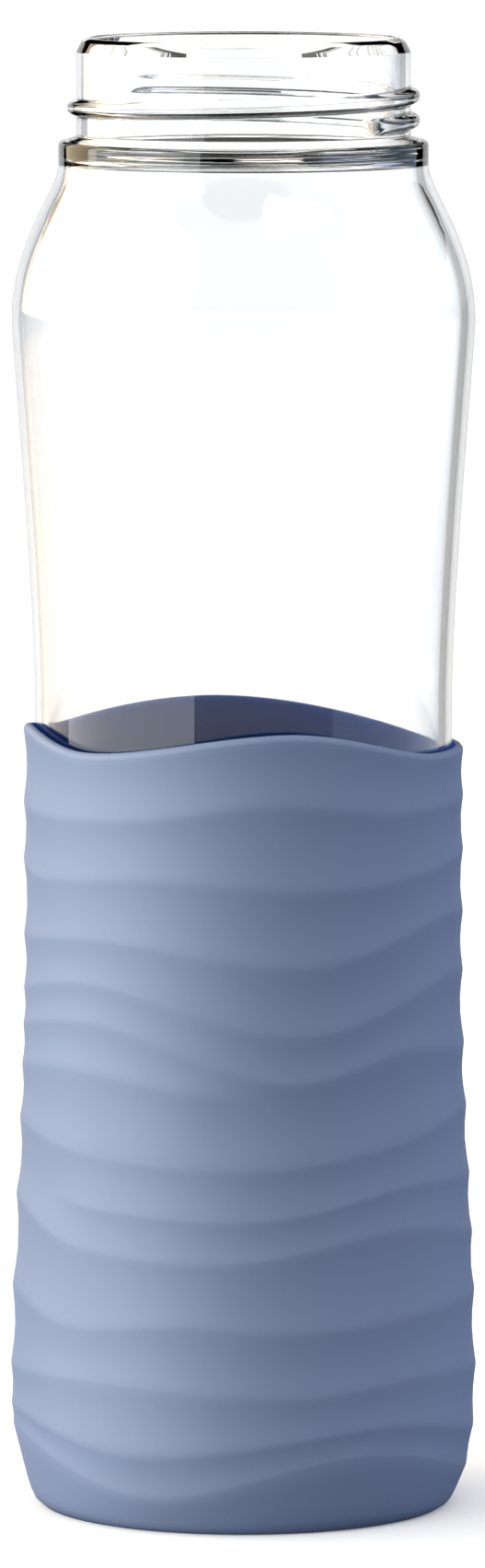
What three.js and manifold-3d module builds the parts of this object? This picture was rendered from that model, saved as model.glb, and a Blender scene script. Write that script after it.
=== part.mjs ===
// A glass water bottle standing in a silicone sleeve. Millimetres, +Z up. The origin is on the
// table, at the centre of the sleeve's foot. Angles run from the front (-Y) towards the right (+X).
import * as THREE from 'three';
import Module from 'manifold-3d';
import { mergeVertices } from 'three/addons/utils/BufferGeometryUtils.js';

const manifoldLibrary = await Module();
manifoldLibrary.setup();

// Sleeve: a silicone cup, thin at its lip and thick round its base, with wavy raised lines.
const sleeveHeight = 127.5;        // highest point of the wavy lip
const sleeveWall = 1.5;            // at the lip and down the straight part
const sleeveBaseWall = 3.75;       // at the widest place, near the base
const sleeveFloor = 3;             // under the glass
const flareTopHeight = 88;         // the wall starts to thicken here, on the way down
const flareBaseHeight = 20;        // and is thickest here, where the rounded base starts
const baseEdgeInset = 5.45;        // how far the rounded base comes in, down to the foot
const footWidth = 4;               // the flat ring that stands on the table
const footDepth = 0.8;             // the hollow inside that ring
const ridgeDepth = 0.04;           // depth of the scallop between two lines, for each mm between them
const ridgeSharpness = 0.15;       // 0 is a knife edge along each line, 1 is a gentle swell
const slideClearance = 0.3;        // between the glass and the silicone, all round

// Glass: one blown body, the same wall all over, with a heavier neck and base.
const glassHeight = 232.2;         // base to rim
const waistRadius = 33.4;          // the waist and the straight body inside the sleeve
const waistAboveLip = 1.5;         // the glass stays straight this far above the sleeve
const widestRadius = 37;
const glassWall = 2.05;
const glassBase = 4.5;
const heelRadius = 5;              // rounding between the body and the base
const baseRingRadius = 27;         // the glass stands on this, outside the pushed-up middle
const pushUp = 2;
const shoulderHeight = 24.8;       // widest place up to the collar
const neckRadius = 26.65;
const neckHeight = 15.7;           // collar to rim
const neckWall = 2.4;
const collarStep = 2.85;           // how far the collar stands out from the neck
const collarHeight = 3.76;
const collarSlope = 0.74;          // its sloping top face
const bevelHeight = 2.24;          // the bevel round the rim, down to the straight neck
const bevelWidth = 0.85;
const rimRounding = 0.9;
const rimRoundingHeight = 0.6;
const boreEase = 4;                // height over which the bore opens out below the neck
const flankTopEase = 0.055;        // lengths of the curve handles, as shares of the curve's height
const flankWaistEase = 0.29;
const shoulderWidestEase = 0.53;
const shoulderCollarEase = 0.17;
const boreCurveEase = 0.55;

// Thread: one raised right-hand helix round the neck, fading out at both ends.
const threadPitch = 3.9;
const threadHeight = 1.45;
const threadWidth = 2.5;
const threadRoot = 0.8;            // how far its body runs into the neck's wall
const threadBelowRim = 10.2;       // its middle, at the front
const threadLowEnd = -315;         // angles of its two ends
const threadHighEnd = 233;
const threadTaper = 24;            // each end fades out over this angle

const roundSteps = 48;             // facets round the bottle
const stepsBetweenRidges = 3;
const flankSteps = 7;
const shoulderSteps = 6;
const cornerSteps = 4;
const threadSteps = 72;
const threadSides = 6;

// Sizes and heights worked out from the values above.
const boreRadius = neckRadius - neckWall;
const collarRadius = neckRadius + collarStep;
const boreOfSleeve = waistRadius + slideClearance;
const glassFoot = sleeveFloor + slideClearance;
const waistHeight = sleeveHeight + waistAboveLip - glassFoot;
const collarTop = glassHeight - neckHeight;
const collarBottom = collarTop - collarSlope - collarHeight;
const widestHeight = collarBottom - shoulderHeight;

// The lip and the raised lines of the sleeve, from the top down. Each lists the places where its
// wave turns or bends: angle in degrees, and height on a sleeve as high as drawnSleeveHeight.
// A line that fades into the wall for part of the way round says from and to which angle.
const drawnSleeveHeight = 127.5;
const lipLine = { wave: [[-47, 123.7], [12, 127.5], [63, 122.8], [110, 122.6], [190, 127.2],
  [248, 125], [278, 126.2]] };
const ridgeLines = [
  { wave: [[-60, 112.8], [-30, 113.6], [8, 116.3], [48, 114.1], [90, 114.6], [150, 112.5],
    [215, 115.5]] },
  { wave: [[-68, 102.8], [-22, 104.3], [20, 102.6], [95, 106], [150, 103], [250, 106]] },
  { wave: [[-38, 94], [15, 90.6], [70, 96.8], [135, 92], [200, 94.5], [258, 91.8]] },
  { wave: [[-45, 87], [16, 79.7], [72, 87.2], [145, 81.5], [205, 84.5], [262, 83.2]] },
  { wave: [[-45, 80.9], [14, 72.3], [50, 76.4], [80, 74.6], [120, 76], [190, 72], [255, 76]] },
  { wave: [[-52, 73.3], [20, 68.5], [75, 69.5], [140, 67.5], [200, 66], [262, 70.5]],
    fadesFrom: 5, fadesTo: 195 },
  { wave: [[-82, 62.7], [-40, 59.8], [2, 58.6], [40, 61.2], [78, 64.8], [150, 60], [220, 60]] },
  { wave: [[-72, 53.7], [-40, 51.5], [0, 50.5], [52, 54.8], [95, 53.3], [150, 51.5], [215, 54]],
    fadesFrom: -115, fadesTo: -62 },
  { wave: [[-84, 50.3], [-45, 45], [-8, 43.8], [45, 48], [95, 43.8], [150, 45.5], [205, 44.5]] },
  { wave: [[-80, 35.4], [-46, 32.2], [-14, 33.8], [12, 32.7], [78, 34.9], [140, 32.5], [210, 34]] },
  { wave: [[-40, 23.9], [14, 22.4], [50, 24], [100, 22.2], [170, 23.8], [250, 22.2]] },
  { wave: [[-75, 16.4], [-28, 12.8], [38, 16.8], [90, 12.7], [150, 15.5], [215, 13]] },
  { wave: [[-78, 13.2], [-25, 5.6], [30, 12.2], [90, 6.2], [150, 9.5], [215, 6.5]] },
];
const fadeAngle = 22;

const clearGlass = new THREE.MeshStandardMaterial({ color: '#eaf1f2', roughness: 0.05,
  metalness: 0, transparent: true, opacity: 0.35 });
const slateBlueSilicone = new THREE.MeshStandardMaterial({ color: '#7083a8', roughness: 0.6,
  metalness: 0 });

// A cubic between two heights that leaves and arrives with the given slopes.
function easeBetween(low, high, lowSlope, highSlope, share) {
  const square = share * share;
  const cube = square * share;
  return (2 * cube - 3 * square + 1) * low + (cube - 2 * square + share) * lowSlope
    + (3 * square - 2 * cube) * high + (cube - square) * highSlope;
}

// Height of a wavy line at an angle. The wave is level at its tops and bottoms.
function waveHeight(wave, angle) {
  const count = wave.length;
  const place = (index) => wave[THREE.MathUtils.euclideanModulo(index, count)];
  const span = (index) => THREE.MathUtils.euclideanModulo(place(index + 1)[0] - place(index)[0], 360);
  const slope = (index) => (place(index + 1)[1] - place(index)[1]) / span(index);
  const bend = (index) => {
    const before = slope(index - 1);
    const after = slope(index);
    return before * after > 0 ? (2 * before * after) / (before + after) : 0;
  };
  const turned = (index) => THREE.MathUtils.euclideanModulo(angle - place(index)[0], 360);
  let index = 0;
  while (turned(index) >= span(index)) index += 1;
  const height = easeBetween(place(index)[1], place(index + 1)[1], bend(index) * span(index),
    bend(index + 1) * span(index), turned(index) / span(index));
  return (height * sleeveHeight) / drawnSleeveHeight;
}

// 1 where a raised line stands out in full, and 0 where it has faded into the wall.
function ridgeStrength(line, angle) {
  if (line.fadesFrom === undefined) return 1;
  const middle = (line.fadesFrom + line.fadesTo) / 2;
  const halfSpan = (line.fadesTo - line.fadesFrom) / 2;
  const away = Math.abs(THREE.MathUtils.euclideanModulo(angle - middle + 180, 360) - 180);
  return THREE.MathUtils.smoothstep(away, halfSpan, halfSpan + fadeAngle);
}

// Radius over the tops of the raised lines.
function ridgeTopRadius(height) {
  const thicker = THREE.MathUtils.smoothstep(flareTopHeight - height, 0, flareTopHeight - flareBaseHeight);
  const radius = boreOfSleeve + sleeveWall + (sleeveBaseWall - sleeveWall) * thicker;
  if (height >= flareBaseHeight) return radius;
  const drop = (flareBaseHeight - height) / flareBaseHeight;
  return radius - baseEdgeInset * (1 - Math.sqrt(1 - drop * drop));
}

// How deep the hollow between two raised lines is, at a height between them.
function scallopDepth(upper, lower, height) {
  const across = Math.sin((Math.PI * (upper - height)) / (upper - lower));
  const rounded = Math.sqrt(across * across + ridgeSharpness * ridgeSharpness) - ridgeSharpness;
  const fullDepth = Math.sqrt(1 + ridgeSharpness * ridgeSharpness) - ridgeSharpness;
  return (ridgeDepth * (upper - lower) * rounded) / fullDepth;
}

// Depth in the band under one line, where a line that has faded leaves one wide hollow.
function bandDepth(lines, band, height) {
  const narrow = scallopDepth(lines[band].height, lines[band + 1].height, height);
  const faded = lines[band].strength < 1 ? band : band + 1;
  if (lines[faded].strength === 1) return narrow;
  const wide = scallopDepth(lines[faded - 1].height, lines[faded + 1].height, height);
  return THREE.MathUtils.lerp(wide, narrow, lines[faded].strength);
}

// Outside of the sleeve at one angle, from the foot up to the lip.
function sleeveOutside(angle) {
  const lip = { height: waveHeight(lipLine.wave, angle) - sleeveWall / 2, strength: 1 };
  const foot = { height: 0, strength: 1 };
  const ridges = ridgeLines.map((line) => ({ height: waveHeight(line.wave, angle),
    strength: ridgeStrength(line, angle) }));
  const lines = [lip, ...ridges, foot];
  const points = [];
  for (let band = 0; band < lines.length - 1; band += 1) {
    const lowest = band === lines.length - 2;
    for (let step = 0; step < stepsBetweenRidges; step += 1) {
      const share = step / stepsBetweenRidges;
      const drop = lowest ? 1 - (1 - share) ** 2 : share;
      const height = THREE.MathUtils.lerp(lines[band].height, lines[band + 1].height, drop);
      points.push(new THREE.Vector2(ridgeTopRadius(height) - bandDepth(lines, band, height), height));
    }
  }
  points.push(new THREE.Vector2(ridgeTopRadius(0), 0));
  return points.reverse();
}

// Points of a round corner about a centre, from one angle to another, in degrees.
function roundCorner(centreRadius, centreHeight, radius, from, to, steps) {
  return Array.from({ length: steps + 1 }, (_, step) => {
    const turn = THREE.MathUtils.degToRad(THREE.MathUtils.lerp(from, to, step / steps));
    return new THREE.Vector2(centreRadius + radius * Math.cos(turn), centreHeight + radius * Math.sin(turn));
  });
}

// Outline of the sleeve at one angle: foot, outside, lip, bore and floor.
function sleeveOutline(angle) {
  const footOuter = ridgeTopRadius(0);
  const footInner = footOuter - footWidth;
  const outside = sleeveOutside(angle);
  const lipRounding = sleeveWall / 2;
  const lipCentre = boreOfSleeve + lipRounding;
  const lipHeight = outside[outside.length - 1].y;
  const cornerRadius = heelRadius + slideClearance;
  return [
    new THREE.Vector2(0, footDepth),
    new THREE.Vector2(footInner - footDepth, footDepth),
    new THREE.Vector2(footInner, 0),
    ...outside,
    ...roundCorner(lipCentre, lipHeight, lipRounding, 0, 180, cornerSteps).slice(1),
    ...roundCorner(boreOfSleeve - cornerRadius, sleeveFloor + cornerRadius, cornerRadius, 0, -90, cornerSteps),
    new THREE.Vector2(0, sleeveFloor),
  ];
}

// A turned solid, standing along +Z, whose outline may differ at each angle.
function turnedSolid(outlineAt) {
  const lathe = new THREE.LatheGeometry(outlineAt(0), roundSteps);
  const position = lathe.attributes.position;
  for (let column = 0; column <= roundSteps; column += 1) {
    const angle = (360 * (column % roundSteps)) / roundSteps;
    const turn = THREE.MathUtils.degToRad(angle);
    const outline = outlineAt(angle);
    outline.forEach((point, row) => {
      position.setXYZ(column * outline.length + row, point.x * Math.sin(turn), point.y,
        point.x * Math.cos(turn));
    });
  }
  return lathe.rotateX(Math.PI / 2);
}

// Points of a curve moved towards the inside by the wall's thickness.
function insideOf(curve, steps, wall) {
  return Array.from({ length: steps + 1 }, (_, step) => {
    const along = curve.getTangent(step / steps);
    return curve.getPoint(step / steps).add(new THREE.Vector2(-along.y, along.x).multiplyScalar(wall));
  });
}

// A curve between two places that leaves and arrives straight up, with its handles' lengths
// given as shares of its height.
function upright(low, high, lowEase, highEase) {
  const rise = high.y - low.y;
  return new THREE.CubicBezierCurve(low, new THREE.Vector2(low.x, low.y + lowEase * rise),
    new THREE.Vector2(high.x, high.y - highEase * rise), high);
}

// Outline of the glass: base, outside up to the rim, bore, and the inside down to the floor.
function glassOutline() {
  const waist = new THREE.Vector2(waistRadius, waistHeight);
  const widest = new THREE.Vector2(widestRadius, widestHeight);
  const collar = new THREE.Vector2(collarRadius, collarBottom);
  const flank = upright(waist, widest, flankWaistEase, flankTopEase);
  const shoulder = upright(widest, collar, shoulderWidestEase, shoulderCollarEase);
  const boreBottom = new THREE.Vector2(boreRadius, collarBottom + boreEase);
  const boreCurve = upright(new THREE.Vector2(collarRadius - glassWall, collarBottom), boreBottom,
    boreCurveEase, boreCurveEase);
  const bevelTop = neckRadius - bevelWidth;
  const innerHeel = heelRadius - glassWall;
  return [
    new THREE.Vector2(0, pushUp),
    new THREE.Vector2(baseRingRadius - 2 * pushUp, pushUp),
    new THREE.Vector2(baseRingRadius, 0),
    ...roundCorner(waistRadius - heelRadius, heelRadius, heelRadius, -90, 0, cornerSteps),
    ...flank.getPoints(flankSteps),
    ...shoulder.getPoints(shoulderSteps).slice(1),
    new THREE.Vector2(collarRadius, collarTop - collarSlope),
    new THREE.Vector2(neckRadius, collarTop),
    new THREE.Vector2(neckRadius, glassHeight - bevelHeight),
    new THREE.Vector2(bevelTop, glassHeight - rimRoundingHeight),
    new THREE.Vector2(bevelTop - rimRounding, glassHeight),
    new THREE.Vector2(boreRadius, glassHeight),
    ...boreCurve.getPoints(cornerSteps).reverse(),
    ...insideOf(shoulder, shoulderSteps, glassWall).slice(0, -1).reverse(),
    ...insideOf(flank, flankSteps, glassWall).slice(0, -1).reverse(),
    ...roundCorner(waistRadius - heelRadius, glassBase + innerHeel, innerHeel, 0, -90, cornerSteps),
    new THREE.Vector2(0, glassBase),
  ];
}

// The thread's body: a bar bent into a helix. Its ends sink into the neck's wall.
function threadBar() {
  const bar = new THREE.CylinderGeometry(1, 1, 1, threadSides, threadSteps);
  const position = bar.attributes.position;
  for (let index = 0; index < position.count; index += 1) {
    const angle = THREE.MathUtils.lerp(threadLowEnd, threadHighEnd, position.getY(index) + 1 / 2);
    const fromEnd = Math.min(angle - threadLowEnd, threadHighEnd - angle);
    const fade = Math.sqrt(THREE.MathUtils.clamp(fromEnd / threadTaper, 0, 1));
    const crest = THREE.MathUtils.lerp(-threadRoot / 2, threadHeight, fade);
    const outwards = (position.getX(index) + 1) / 2;
    const radius = neckRadius + THREE.MathUtils.lerp(-threadRoot, crest, outwards);
    const middle = glassHeight - threadBelowRim + (threadPitch * angle) / 360;
    const turn = THREE.MathUtils.degToRad(angle);
    position.setXYZ(index, radius * Math.sin(turn), -radius * Math.cos(turn),
      middle + (position.getZ(index) * threadWidth) / 2);
  }
  return bar;
}

// A closed solid from a geometry, with its shared corners merged and its empty triangles left out.
function solidFrom(geometry) {
  geometry.deleteAttribute('normal');
  geometry.deleteAttribute('uv');
  const merged = mergeVertices(geometry);
  const corners = merged.index.array;
  const triangles = [];
  for (let start = 0; start < corners.length; start += 3) {
    const [first, second, third] = corners.slice(start, start + 3);
    if (first !== second && second !== third && third !== first) triangles.push(first, second, third);
  }
  return new manifoldLibrary.Manifold(new manifoldLibrary.Mesh({ numProp: 3,
    vertProperties: new Float32Array(merged.attributes.position.array),
    triVerts: new Uint32Array(triangles) }));
}

function geometryFrom(solid) {
  const mesh = solid.getMesh();
  const geometry = new THREE.BufferGeometry();
  geometry.setAttribute('position', new THREE.BufferAttribute(mesh.vertProperties, 3));
  geometry.setIndex(new THREE.BufferAttribute(mesh.triVerts, 1));
  geometry.computeVertexNormals();
  return geometry;
}

function glassBottle() {
  const body = solidFrom(turnedSolid(glassOutline));
  const mesh = new THREE.Mesh(geometryFrom(body.add(solidFrom(threadBar()))), clearGlass);
  mesh.name = 'glass_bottle';
  mesh.position.z = glassFoot;
  return mesh;
}

function siliconeSleeve() {
  const mesh = new THREE.Mesh(turnedSolid(sleeveOutline), slateBlueSilicone);
  mesh.name = 'silicone_sleeve';
  return mesh;
}

const waterBottle = new THREE.Group();
waterBottle.add(siliconeSleeve(), glassBottle());

export default waterBottle;
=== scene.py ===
import math

import bpy
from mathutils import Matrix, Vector


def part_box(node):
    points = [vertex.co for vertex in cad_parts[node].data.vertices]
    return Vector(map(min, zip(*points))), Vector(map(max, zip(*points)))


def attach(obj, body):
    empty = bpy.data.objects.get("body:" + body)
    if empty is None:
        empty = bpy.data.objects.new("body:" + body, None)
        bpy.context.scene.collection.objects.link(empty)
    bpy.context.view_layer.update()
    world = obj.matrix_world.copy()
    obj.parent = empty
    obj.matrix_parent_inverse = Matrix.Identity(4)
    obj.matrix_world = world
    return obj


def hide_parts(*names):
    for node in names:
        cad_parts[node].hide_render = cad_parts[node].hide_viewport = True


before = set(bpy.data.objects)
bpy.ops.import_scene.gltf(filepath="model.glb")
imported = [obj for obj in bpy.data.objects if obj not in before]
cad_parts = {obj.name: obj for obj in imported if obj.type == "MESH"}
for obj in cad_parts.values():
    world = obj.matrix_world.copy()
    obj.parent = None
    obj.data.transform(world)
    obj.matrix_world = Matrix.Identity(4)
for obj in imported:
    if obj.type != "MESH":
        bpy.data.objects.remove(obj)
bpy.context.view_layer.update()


# ---------------------------------------------------------------------------------------------
# Silicone sleeve. A soft cup moulded in one piece from matt slate-blue silicone and pulled over
# the lower half of the glass, which it grips. The wall is thin at the wavy lip and thick round
# the base, and raised wavy lines run round it with a shallow hollow between each two.

MM = 0.001
sleeve_low, sleeve_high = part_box("silicone_sleeve")
glass_low, glass_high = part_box("glass_bottle")

sleeve_base_radius = sleeve_high.x / MM
bore_radius = 33.55
lip_wall = 1.65
floor_height = 3.0
flare_top_height = 88.0
flare_base_height = 20.0
base_edge_inset = 5.45
foot_width = 4.0
foot_depth = 0.8
inner_corner = 5.3
ridge_depth = 0.043
ridge_sharpness = 0.12
fade_angle = 22.0

# Each line lists where its wave turns or bends: the angle from the front towards the right, and
# the height in millimetres. Two of them fade into the wall from one angle to another.
lip_wave = [(-47, 123.7), (12, 127.5), (63, 122.8), (110, 122.6), (190, 127.2), (248, 125), (278, 126.2)]
ridge_waves = [
    [(-60, 112.8), (-30, 113.6), (8, 116.3), (48, 114.1), (90, 114.6), (150, 112.5), (215, 115.5)],
    [(-68, 102.8), (-22, 104.3), (20, 102.6), (95, 106), (150, 103), (250, 106)],
    [(-38, 94), (15, 90.6), (70, 96.8), (135, 92), (200, 94.5), (258, 91.8)],
    [(-45, 87), (16, 79.7), (72, 87.2), (145, 81.5), (205, 84.5), (262, 83.2)],
    [(-45, 80.9), (14, 72.3), (50, 76.4), (80, 74.6), (120, 76), (190, 72), (255, 76)],
    [(-52, 73.3), (20, 68.5), (75, 69.5), (140, 67.5), (200, 66), (262, 70.5)],
    [(-82, 62.7), (-40, 59.8), (2, 58.6), (40, 61.2), (78, 64.8), (150, 60), (220, 60)],
    [(-72, 53.7), (-40, 51.5), (0, 50.5), (52, 54.8), (95, 53.3), (150, 51.5), (215, 54)],
    [(-84, 50.3), (-45, 45), (-8, 43.8), (45, 48), (95, 43.8), (150, 45.5), (205, 44.5)],
    [(-80, 35.4), (-46, 32.2), (-14, 33.8), (12, 32.7), (78, 34.9), (140, 32.5), (210, 34)],
    [(-40, 23.9), (14, 22.4), (50, 24), (100, 22.2), (170, 23.8), (250, 22.2)],
    [(-75, 16.4), (-28, 12.8), (38, 16.8), (90, 12.7), (150, 15.5), (215, 13)],
    [(-78, 13.2), (-25, 5.6), (30, 12.2), (90, 6.2), (150, 9.5), (215, 6.5)],
]
faded_lines = {5: (5, 195), 7: (-115, -62)}


def wave_height(wave, angle):
    """Height of a wavy line at an angle: a smooth curve, level at its tops and bottoms."""
    count = len(wave)

    def span(i):
        return (wave[(i + 1) % count][0] - wave[i % count][0]) % 360

    def slope(i):
        return (wave[(i + 1) % count][1] - wave[i % count][1]) / span(i)

    def bend(i):
        before, after = slope(i - 1), slope(i)
        return 2 * before * after / (before + after) if before * after > 0 else 0.0

    i = next(k for k in range(count) if (angle - wave[k][0]) % 360 < span(k))
    share = ((angle - wave[i][0]) % 360) / span(i)
    square, cube = share**2, share**3
    low, high = wave[i][1], wave[(i + 1) % count][1]
    return (
        (2 * cube - 3 * square + 1) * low
        + (cube - 2 * square + share) * bend(i) * span(i)
        + (3 * square - 2 * cube) * high
        + (cube - square) * bend((i + 1) % count) * span(i)
    )


def smooth_step(value, start, end):
    share = min(max((value - start) / (end - start), 0.0), 1.0)
    return share * share * (3 - 2 * share)


def line_strength(line, angle):
    """1 where a raised line stands out in full, and 0 where it has faded into the wall."""
    if line not in faded_lines:
        return 1.0
    start, end = faded_lines[line]
    away = abs((angle - (start + end) / 2 + 180) % 360 - 180)
    return smooth_step(away, (end - start) / 2, (end - start) / 2 + fade_angle)


def ridge_top_radius(height):
    """Radius over the tops of the raised lines: straight, then flaring to a rounded base."""
    top_radius = bore_radius + lip_wall
    flare = smooth_step(flare_top_height - height, 0, flare_top_height - flare_base_height)
    radius = top_radius + (sleeve_base_radius - top_radius) * flare
    drop = max(flare_base_height - height, 0.0) / flare_base_height
    return radius - base_edge_inset * (1 - math.sqrt(1 - drop * drop))


def scallop_depth(upper, lower, height):
    across = math.sin(math.pi * (upper - height) / (upper - lower))
    rounded = math.hypot(across, ridge_sharpness) - ridge_sharpness
    full = math.hypot(1, ridge_sharpness) - ridge_sharpness
    return ridge_depth * (upper - lower) * rounded / full


def band_depth(lines, band, height):
    """Depth between two lines, where a line that has faded leaves one wide hollow."""
    narrow = scallop_depth(lines[band][0], lines[band + 1][0], height)
    faded = band if lines[band][1] < 1 else band + 1
    strength = lines[faded][1]
    if strength == 1:
        return narrow
    wide = scallop_depth(lines[faded - 1][0], lines[faded + 1][0], height)
    return wide + (narrow - wide) * strength


def round_corner(centre_radius, centre_height, radius, start, end, steps):
    turns = [math.radians(start + (end - start) * k / steps) for k in range(steps + 1)]
    return [(centre_radius + radius * math.cos(t), centre_height + radius * math.sin(t)) for t in turns]


def sleeve_outline(angle):
    """Radius and height of each ring of the sleeve at an angle: foot, outside, lip, bore, floor."""
    rows = 14
    lip_rounding = lip_wall / 2
    lines = [(wave_height(lip_wave, angle) - lip_rounding, 1.0)]
    lines += [(wave_height(wave, angle), line_strength(k, angle)) for k, wave in enumerate(ridge_waves)]
    lines += [(0.0, 1.0)]
    outside = [(ridge_top_radius(0), 0.0)]
    for band in range(len(lines) - 2, -1, -1):
        upper, lower = lines[band][0], lines[band + 1][0]
        for row in range(rows - 1, -1, -1):
            share = row / rows
            drop = share - 0.1 * math.sin(2 * math.pi * share)
            if lower == 0:
                drop = 1 - (1 - share) ** 2
            height = upper + (lower - upper) * drop
            outside.append((ridge_top_radius(height) - band_depth(lines, band, height), height))
    foot_outer = ridge_top_radius(0)
    foot_inner = foot_outer - foot_width
    lip_height = outside[-1][1]
    return [
        (foot_inner - foot_depth, foot_depth),
        (foot_inner - 0.3, 0.15),
        (foot_inner, 0.0),
        *outside,
        *round_corner(bore_radius + lip_rounding, lip_height, lip_rounding, 0, 180, 12)[1:],
        (bore_radius, lip_height - 1.5),
        (bore_radius, floor_height + 2 * inner_corner),
        *round_corner(bore_radius - inner_corner, floor_height + inner_corner, inner_corner, 0, -90, 6),
    ]


def select_only(piece):
    bpy.ops.object.select_all(action="DESELECT")
    piece.select_set(True)
    bpy.context.view_layer.objects.active = piece


sleeve_columns = 288
sleeve_rings = len(sleeve_outline(0))
bpy.ops.object.select_all(action="DESELECT")
bpy.ops.mesh.primitive_cylinder_add(vertices=sleeve_columns, radius=1, depth=1, end_fill_type="TRIFAN")
sleeve = bpy.context.object
sleeve.name = "sleeve_moulding"
bpy.ops.object.mode_set(mode="EDIT")
bpy.ops.mesh.select_mode(type="EDGE")
bpy.ops.mesh.select_all(action="DESELECT")
bpy.ops.object.mode_set(mode="OBJECT")
for edge in sleeve.data.edges:
    ends = [sleeve.data.vertices[v].co.z for v in edge.vertices]
    edge.select = abs(ends[0] - ends[1]) > 0.5
bpy.ops.object.mode_set(mode="EDIT")
bpy.ops.mesh.subdivide(number_cuts=sleeve_rings - 2)
bpy.ops.mesh.select_all(action="DESELECT")
bpy.ops.object.mode_set(mode="OBJECT")
outlines = [sleeve_outline(360 * k / sleeve_columns) for k in range(sleeve_columns)]
for vertex in sleeve.data.vertices:
    x, y, z = vertex.co
    if math.hypot(x, y) < 0.5:
        vertex.co = (0, 0, (foot_depth if z < 0 else floor_height) * MM)
        continue
    angle = math.atan2(x, -y)
    column = round(math.degrees(angle) / 360 * sleeve_columns) % sleeve_columns
    ring = round((z + 0.5) * (sleeve_rings - 1))
    radius, height = outlines[column][ring]
    vertex.co = (radius * MM * math.sin(angle), -radius * MM * math.cos(angle), height * MM)
bpy.ops.object.shade_smooth()


def silicone_finish(name, dark, light, smoothest, roughest, shine):
    """Slate-blue silicone with faint clouds of colour and the fine grain of its mould."""
    silicone = bpy.data.materials.new(name)
    silicone.use_nodes = True
    nodes, links = silicone.node_tree.nodes, silicone.node_tree.links
    shader = nodes["Principled BSDF"]
    shader.inputs["IOR"].default_value = 1.7
    shader.inputs["Specular IOR Level"].default_value = shine
    place = nodes.new("ShaderNodeTexCoord")
    clouds = nodes.new("ShaderNodeTexNoise")
    clouds.inputs["Scale"].default_value = 18
    clouds.inputs["Detail"].default_value = 3
    links.new(place.outputs["Object"], clouds.inputs["Vector"])
    tint = nodes.new("ShaderNodeValToRGB")
    tint.color_ramp.elements[0].position = 0.3
    tint.color_ramp.elements[0].color = (*dark, 1)
    tint.color_ramp.elements[1].position = 0.7
    tint.color_ramp.elements[1].color = (*light, 1)
    links.new(clouds.outputs["Fac"], tint.inputs["Fac"])
    links.new(tint.outputs["Color"], shader.inputs["Base Color"])
    grain = nodes.new("ShaderNodeTexNoise")
    grain.inputs["Scale"].default_value = 2200
    grain.inputs["Detail"].default_value = 2
    links.new(place.outputs["Object"], grain.inputs["Vector"])
    rough = nodes.new("ShaderNodeMapRange")
    rough.inputs["To Min"].default_value = smoothest
    rough.inputs["To Max"].default_value = roughest
    links.new(grain.outputs["Fac"], rough.inputs["Value"])
    links.new(rough.outputs["Result"], shader.inputs["Roughness"])
    bump = nodes.new("ShaderNodeBump")
    bump.inputs["Strength"].default_value = 0.25
    bump.inputs["Distance"].default_value = 0.00003
    links.new(grain.outputs["Fac"], bump.inputs["Height"])
    links.new(bump.outputs["Normal"], shader.inputs["Normal"])
    return silicone


sleeve.data.materials.append(
    silicone_finish("matt_slate_silicone", (0.124, 0.169, 0.295), (0.132, 0.179, 0.309), 0.58, 0.70, 0.8)
)
# The faces inside get a stronger, more saturated blue with less red and green than the outside. This is
# painted shade for the deep navy the inside shows through the glass, though the sleeve is one blue inside
# and out. They also get a duller finish.
sleeve.data.materials.append(
    silicone_finish("inner_silicone_painted_shade", (0.024, 0.092, 0.43), (0.028, 0.098, 0.45), 0.8, 0.95, 0.0)
)
# Faces that look towards the axis, and the floor inside the cup, take this painted-shade blue.
for face in sleeve.data.polygons:
    inwards = face.normal.x * face.center.x + face.normal.y * face.center.y < -0.5 * face.center.xy.length
    if inwards or face.normal.z > 0.5 and face.center.z < 2 * floor_height * MM:
        face.material_index = 1

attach(sleeve, "sleeve")
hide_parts("silicone_sleeve")


# ---------------------------------------------------------------------------------------------
# Glass bottle. One body of clear glass, blown in a mould: base, straight lower body, waist,
# shoulder, collar, and a thick neck with its thread and bevelled rim. It stands in the sleeve.

glass_foot = glass_low.z / MM
glass_height = glass_high.z / MM - glass_foot
widest_radius = glass_high.x / MM
waist_radius = 33.4
waist_height = 129.0 - glass_foot
glass_wall = 2.05
glass_base = 4.5
heel_radius = 5.0
base_ring_radius = 27.0
push_up = 2.0
shoulder_height = 24.8
collar_height = 3.76
collar_slope = 0.74
neck_radius = 26.65
neck_wall = 2.4
collar_step = 2.85
neck_height = 15.7
bevel_height = 2.24
bevel_width = 0.85
rim_rounding = 0.9
rim_rounding_height = 0.6
bore_ease = 4.0

thread_pitch = 3.9
thread_height = 1.45
thread_half_width = 1.4
thread_below_rim = 10.2
thread_low_end = -315.0
thread_high_end = 233.0
thread_taper = 24.0
thread_flatness = 3
thread_edge_softness = 1.1
neck_cuts = 100
glass_columns = 240


def upright_curve(low, high, low_ease, high_ease, steps):
    """Points from low to high on a curve that leaves and arrives straight up."""
    rise = high[1] - low[1]
    handles = [low, (low[0], low[1] + low_ease * rise), (high[0], high[1] - high_ease * rise), high]
    points = []
    for k in range(steps + 1):
        t = k / steps
        weights = ((1 - t) ** 3, 3 * (1 - t) ** 2 * t, 3 * (1 - t) * t * t, t**3)
        points.append(tuple(sum(w * h[axis] for w, h in zip(weights, handles)) for axis in (0, 1)))
    return points


def inside_of(points, wall):
    """The same curve, moved towards the inside by the wall's thickness."""
    moved = []
    for k, point in enumerate(points):
        before, after = Vector(points[max(k - 1, 0)]), Vector(points[min(k + 1, len(points) - 1)])
        along = (after - before).normalized()
        moved.append((point[0] - along.y * wall, point[1] + along.x * wall))
    return moved


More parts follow.
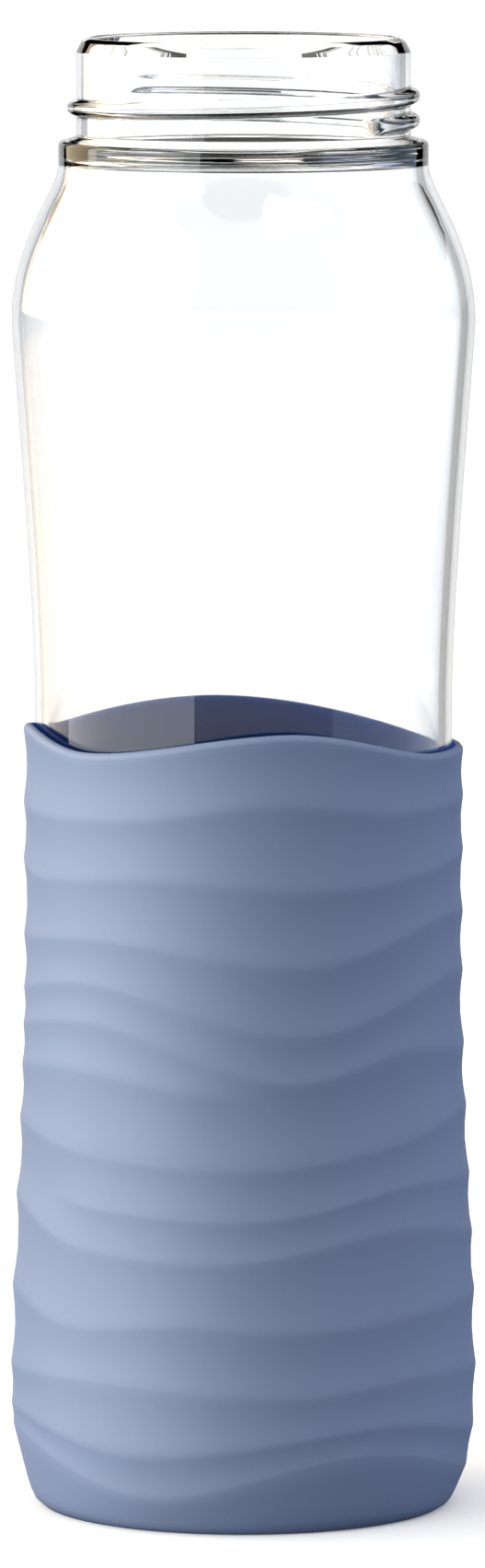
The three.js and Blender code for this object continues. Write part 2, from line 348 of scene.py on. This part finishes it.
def rounded(corners, steps=5):
    """Straight lines through (radius, height, rounding) corners, each corner rounded by an arc."""
    points = []
    for k, (radius, height, rounding) in enumerate(corners):
        here = Vector((radius, height))
        if rounding == 0 or k in (0, len(corners) - 1):
            points.append((radius, height))
            continue
        back = (Vector(corners[k - 1][:2]) - here).normalized()
        ahead = (Vector(corners[k + 1][:2]) - here).normalized()
        half = back.angle(ahead) / 2
        centre = here + (back + ahead).normalized() * rounding / math.sin(half)
        start = here + back * rounding / math.tan(half) - centre
        end = here + ahead * rounding / math.tan(half) - centre
        sweep = start.angle_signed(end)
        for step in range(steps + 1):
            turn = -sweep * step / steps
            swung = Vector((
                start.x * math.cos(turn) - start.y * math.sin(turn),
                start.x * math.sin(turn) + start.y * math.cos(turn),
            ))
            points.append(tuple(centre + swung))
    return points


collar_top = glass_height - neck_height
collar_bottom = collar_top - collar_slope - collar_height
widest_height = collar_bottom - shoulder_height
collar_radius = neck_radius + collar_step
bore = neck_radius - neck_wall
flank = upright_curve((waist_radius, waist_height), (widest_radius, widest_height), 0.29, 0.055, 32)
shoulder = upright_curve((widest_radius, widest_height), (collar_radius, collar_bottom), 0.53, 0.17, 24)
outer_wall = flank + shoulder[1:]
inner_wall = inside_of(outer_wall, glass_wall)
bore_curve = upright_curve(inner_wall[-1], (bore, collar_bottom + bore_ease), 0.55, 0.55, 16)
outline = [
    *rounded([
        (0, push_up, 0), (base_ring_radius - 4, push_up, 3), (base_ring_radius, 0, 1.5),
        (waist_radius, 0, heel_radius), (waist_radius, waist_height / 2, 0),
    ], 8),
    *outer_wall,
    *rounded([
        (collar_radius, collar_bottom + 0.5, 0), (collar_radius, collar_top - collar_slope, 0.9),
        (neck_radius, collar_top, 0.5), (neck_radius, glass_height - bevel_height, 0.3),
        (neck_radius - bevel_width, glass_height - rim_rounding_height, 0.35),
        (neck_radius - bevel_width - rim_rounding, glass_height, 0.4),
        (bore, glass_height, 0.25), (bore, glass_height - 2, 0),
    ]),
    *reversed(bore_curve),
    *reversed(inner_wall[:-1]),
    *rounded([
        (waist_radius - glass_wall, waist_height / 2, 0),
        (waist_radius - glass_wall, glass_base, heel_radius - glass_wall), (0, glass_base, 0),
    ], 8),
]


def draw_outline(name, points):
    """A chain of edges in the front half of the section, from (radius, height) points."""
    bpy.ops.object.select_all(action="DESELECT")
    bpy.ops.mesh.primitive_circle_add(vertices=len(points), radius=1)
    piece = bpy.context.object
    piece.name = name
    bpy.ops.object.mode_set(mode="EDIT")
    bpy.ops.mesh.select_mode(type="EDGE")
    bpy.ops.mesh.select_all(action="DESELECT")
    bpy.ops.object.mode_set(mode="OBJECT")
    for vertex, (radius, height) in zip(piece.data.vertices, points):
        vertex.co = (0, -radius, height)
    for edge in piece.data.edges:
        edge.select = sorted(edge.vertices) == [0, len(points) - 1]
    bpy.ops.object.mode_set(mode="EDIT")
    bpy.ops.mesh.delete(type="EDGE")
    bpy.ops.object.mode_set(mode="OBJECT")
    return piece


def turn_outline(piece, steps):
    """Spins the whole outline round the bottle's axis and closes its seam and poles."""
    bpy.ops.object.mode_set(mode="EDIT")
    bpy.ops.mesh.select_all(action="SELECT")
    bpy.ops.mesh.spin(steps=steps, angle=math.tau, center=(0, 0, 0), axis=(0, 0, 1))
    bpy.ops.mesh.select_all(action="SELECT")
    bpy.ops.mesh.remove_doubles(threshold=0.002 * MM)
    bpy.ops.mesh.normals_make_consistent(inside=False)
    bpy.ops.mesh.select_all(action="DESELECT")
    bpy.ops.object.mode_set(mode="OBJECT")


glass = draw_outline("bottle_glass_body", [(r * MM, (h + glass_foot) * MM) for r, h in outline])
for edge in glass.data.edges:
    ends = [glass.data.vertices[v].co for v in edge.vertices]
    on_neck = all(abs(-end.y - neck_radius * MM) < 0.01 * MM for end in ends)
    edge.select = on_neck and abs(ends[0].z - ends[1].z) > 5 * MM
bpy.ops.object.mode_set(mode="EDIT")
bpy.ops.mesh.subdivide(number_cuts=neck_cuts)
bpy.ops.object.mode_set(mode="OBJECT")
turn_outline(glass, glass_columns)


def thread_rise(angle, height):
    """How far the thread stands out of the neck at an angle and a height."""
    for turn in (-360, 0):
        along = angle + turn
        if not thread_low_end <= along <= thread_high_end:
            continue
        middle = glass_height - thread_below_rim + thread_pitch * along / 360
        across = abs(height - middle) / thread_half_width
        if across < 1:
            end = min(along - thread_low_end, thread_high_end - along)
            fade = smooth_step(end, 0, thread_taper)
            return thread_height * fade * (1 - across**thread_flatness) ** thread_edge_softness
    return 0.0


for vertex in glass.data.vertices:
    x, y, z = vertex.co / MM
    radius = math.hypot(x, y)
    if abs(radius - neck_radius) < 0.01:
        stretch = 1 + thread_rise(math.degrees(math.atan2(x, -y)) % 360, z - glass_foot) / radius
        vertex.co = (x * stretch * MM, y * stretch * MM, z * MM)
bpy.ops.object.shade_smooth()

clear_glass = bpy.data.materials.new("clear_bottle_glass")
clear_glass.use_nodes = True
nodes, links = clear_glass.node_tree.nodes, clear_glass.node_tree.links
shader = nodes["Principled BSDF"]
shader.inputs["Base Color"].default_value = (0.985, 0.99, 0.99, 1)
shader.inputs["Roughness"].default_value = 0.0
shader.inputs["IOR"].default_value = 1.5
shader.inputs["Transmission Weight"].default_value = 1.0
glass.data.materials.append(clear_glass)

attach(glass, "bottle")
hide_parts("glass_bottle")


# ---------------------------------------------------------------------------------------------
# Table and light. A pale floor that sweeps up all round into a low wall and glows, as painted light. The
# glow is brightest behind the bottle, dimmer in bands to each side behind it, and dimmed near the bottle
# as painted shade round its foot. Reflections skip it and see a dark surround with a tall panel on each
# side and a low glow behind. Soft lamps stand at the left and high at the right, under an even sky.

floor_glow = 0.34
near_floor_paleness = 0.8
sky_brightness = 0.75

sweep = draw_outline("pale_floor", [(0, 0), (7.0, 0), (7.6, 0.1), (7.9, 0.4), (8.0, 0.9), (8.0, 1.5)])
turn_outline(sweep, 96)
bpy.ops.object.shade_smooth()
sweep.visible_glossy = False
sweep.visible_diffuse = False
sweep.visible_shadow = False
paint = bpy.data.materials.new("pale_floor_paint")
paint.use_nodes = True
nodes, links = paint.node_tree.nodes, paint.node_tree.links
shader = nodes["Principled BSDF"]
shader.inputs["Roughness"].default_value = 0.9
shader.inputs["Emission Strength"].default_value = floor_glow
place = nodes.new("ShaderNodeTexCoord")
split = nodes.new("ShaderNodeSeparateXYZ")
links.new(place.outputs["Object"], split.inputs["Vector"])
bearing = nodes.new("ShaderNodeMath")
bearing.operation = "ARCTAN2"
links.new(split.outputs["X"], bearing.inputs[0])
links.new(split.outputs["Y"], bearing.inputs[1])
turn = nodes.new("ShaderNodeMapRange")
turn.inputs["From Min"].default_value = -math.pi
turn.inputs["From Max"].default_value = math.pi
links.new(bearing.outputs["Value"], turn.inputs["Value"])
glow = nodes.new("ShaderNodeValToRGB")
links.new(turn.outputs["Result"], glow.inputs["Fac"])
glow.color_ramp.elements[0].position = 0.0
glow.color_ramp.elements[0].color = (0.75, 0.75, 0.75, 1)
glow.color_ramp.elements[1].position = 1.0
glow.color_ramp.elements[1].color = (0.75, 0.75, 0.75, 1)
# Paleness and painted glow by bearing, in degrees from straight behind the bottle towards the right. The
# glow is dimmest in bands about 20 to 45 degrees to each side, deepest on the right.
for degrees, level in (
    (-60, 0.75), (-45, 0.66), (-22, 0.64), (-17, 0.69), (-12, 0.77), (-9, 0.80), (9, 0.80),
    (12, 0.75), (18, 0.66), (22, 0.40), (37, 0.42), (45, 0.6), (60, 0.75),
):
    glow.color_ramp.elements.new(0.5 + degrees / 360).color = (level, level, level, 1)
far = nodes.new("ShaderNodeVectorMath")
far.operation = "LENGTH"
links.new(place.outputs["Object"], far.inputs[0])
distance = nodes.new("ShaderNodeMapRange")
distance.inputs["From Min"].default_value = 0.3
distance.inputs["From Max"].default_value = 1.0
links.new(far.outputs["Value"], distance.inputs["Value"])
paleness_and_glow = nodes.new("ShaderNodeMix")
paleness_and_glow.data_type = "RGBA"
paleness_and_glow.inputs["A"].default_value = (*[near_floor_paleness] * 3, 1)
links.new(distance.outputs["Result"], paleness_and_glow.inputs["Factor"])
links.new(glow.outputs["Color"], paleness_and_glow.inputs["B"])
links.new(paleness_and_glow.outputs["Result"], shader.inputs["Base Color"])
# The glow is dimmed to 0.6 within 0.3 m of the bottle and rises to full at 2 m: painted shade round the
# bottle.
near_fade = nodes.new("ShaderNodeMapRange")
near_fade.inputs["From Min"].default_value = 0.3
near_fade.inputs["From Max"].default_value = 2.0
near_fade.inputs["To Min"].default_value = 0.6
near_fade.inputs["To Max"].default_value = 1.0
links.new(far.outputs["Value"], near_fade.inputs["Value"])
dimmed = nodes.new("ShaderNodeMix")
dimmed.data_type = "RGBA"
dimmed.blend_type = "MULTIPLY"
dimmed.inputs["Factor"].default_value = 1.0
links.new(paleness_and_glow.outputs["Result"], dimmed.inputs["A"])
links.new(near_fade.outputs["Result"], dimmed.inputs["B"])
links.new(dimmed.outputs["Result"], shader.inputs["Emission Color"])
sweep.data.materials.append(paint)

surround = bpy.data.worlds.new("studio_surround")
bpy.context.scene.world = surround
surround.use_nodes = True
nodes, links = surround.node_tree.nodes, surround.node_tree.links
direction = nodes.new("ShaderNodeTexCoord")
split = nodes.new("ShaderNodeSeparateXYZ")
links.new(direction.outputs["Generated"], split.inputs["Vector"])
front = nodes.new("ShaderNodeMath")
front.operation = "MULTIPLY"
front.inputs[1].default_value = -1
links.new(split.outputs["Y"], front.inputs[0])
bearing = nodes.new("ShaderNodeMath")
bearing.operation = "ARCTAN2"
links.new(split.outputs["X"], bearing.inputs[0])
links.new(front.outputs["Value"], bearing.inputs[1])


def panel(start, end, lowest, highest, colour):
    """An upright panel of light between two bearings and two heights, in degrees."""
    inside = []
    for output, low, high in (
        (bearing.outputs["Value"], math.radians(start), math.radians(end)),
        (split.outputs["Z"], math.sin(math.radians(lowest)), math.sin(math.radians(highest))),
    ):
        within = nodes.new("ShaderNodeMath")
        within.operation = "COMPARE"
        within.inputs[1].default_value = (low + high) / 2
        within.inputs[2].default_value = (high - low) / 2
        links.new(output, within.inputs[0])
        inside.append(within)
    lit = nodes.new("ShaderNodeMath")
    lit.operation = "MULTIPLY"
    links.new(inside[0].outputs["Value"], lit.inputs[0])
    links.new(inside[1].outputs["Value"], lit.inputs[1])
    light = nodes.new("ShaderNodeBackground")
    light.inputs["Color"].default_value = (*colour, 1)
    links.new(lit.outputs["Value"], light.inputs["Strength"])
    return light.outputs["Background"]


# Bearings run from straight in front of the bottle towards the right.
panels = [
    panel(-113, -27, -30, 40, (2.3, 2.45, 2.48)),
    panel(50, 137, -30, 40, (0.5, 0.66, 0.92)),
    panel(-180, -150, -12, 10, (0.9, 0.9, 0.9)),
    panel(150, 180, -12, 10, (0.75, 0.75, 0.75)),
]
all_light = panels[0]
for light in panels[1:]:
    joined = nodes.new("ShaderNodeAddShader")
    links.new(all_light, joined.inputs[0])
    links.new(light, joined.inputs[1])
    all_light = joined.outputs["Shader"]
links.new(all_light, nodes["World Output"].inputs["Surface"])
nodes.remove(nodes["Background"])

bpy.ops.object.light_add(type="SUN", location=(0, 0, 3))
sky = bpy.context.object
sky.name = "even_sky"
sky.data.angle = math.pi
sky.data.energy = math.pi * sky_brightness
sky.data.color = (1.0, 0.99, 1.0)
sky.visible_glossy = False
sky.visible_transmission = False


def softbox(name, place, width, height, brightness, colour):
    """A rectangular lamp aimed at the middle of the bottle."""
    bpy.ops.object.light_add(type="AREA", location=place)
    lamp = bpy.context.object
    lamp.name = name
    lamp.data.shape = "RECTANGLE"
    lamp.data.size = width
    lamp.data.size_y = height
    lamp.data.energy = brightness * width * height * math.pi
    lamp.data.color = colour
    aim = Vector((0, 0, glass_high.z / 2)) - Vector(place)
    lamp.rotation_euler = aim.to_track_quat("-Z", "Y").to_euler()


softbox("left_softbox", (-1.4, 0.1, 0.88), 1.0, 1.6, 1.15, (1, 0.82, 0.55))
softbox("left_front_softbox", (-1.2, -0.9, 0.78), 1.0, 1.4, 1.05, (1, 0.98, 0.88))
softbox("left_back_softbox", (-1.2, 0.8, 0.70), 1.2, 1.2, 2.6, (1, 0.79, 0.50))
softbox("high_right_softbox", (0.6, -0.7, 1.9), 1.2, 1.2, 1.96, (1, 0.92, 0.79))


# ---------------------------------------------------------------------------------------------
# Camera. A long lens a little above the bottle's rim, level with the front.

camera_distance = 1.708
camera_height = 0.304
aim = Vector((-0.00015, 0, 0.1161))
bpy.ops.object.camera_add(location=(0, -camera_distance, camera_height))
camera = bpy.context.object
camera.name = "front_camera"
camera.data.lens = 246.3
camera.data.sensor_width = 36
camera.rotation_euler = (aim - camera.location).to_track_quat("-Z", "Y").to_euler()
camera.data.clip_start = 0.01
bpy.context.scene.camera = camera
bpy.context.scene.view_settings.view_transform = "Standard"
